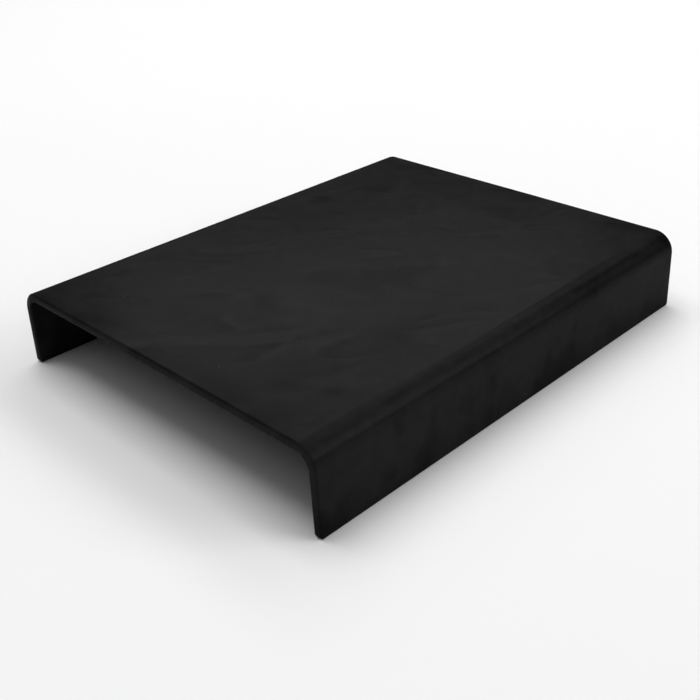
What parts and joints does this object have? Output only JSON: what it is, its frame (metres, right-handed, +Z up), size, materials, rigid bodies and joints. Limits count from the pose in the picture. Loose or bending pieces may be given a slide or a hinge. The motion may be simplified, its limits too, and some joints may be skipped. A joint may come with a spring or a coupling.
{
  "type": "kick plate",
  "caption": "Wide, low kick plate folded from thick steel plate: a flat top, a rounded bend and a short flange down each long side, open at both ends, matt black powder coat.",
  "frame": {"origin": "on the surface that the plate stands on, under the middle of its top", "axes": "+X across the plate from flange to flange, +Y along the bends, +Z up through the top face"},
  "size_m": [0.24, 0.3, 0.047],
  "materials": {
    "powder_coated_steel": "matte"
  },
  "bodies": {
    "root": {"folded_plate": "powder_coated_steel"}
  },
  "joints": []
}
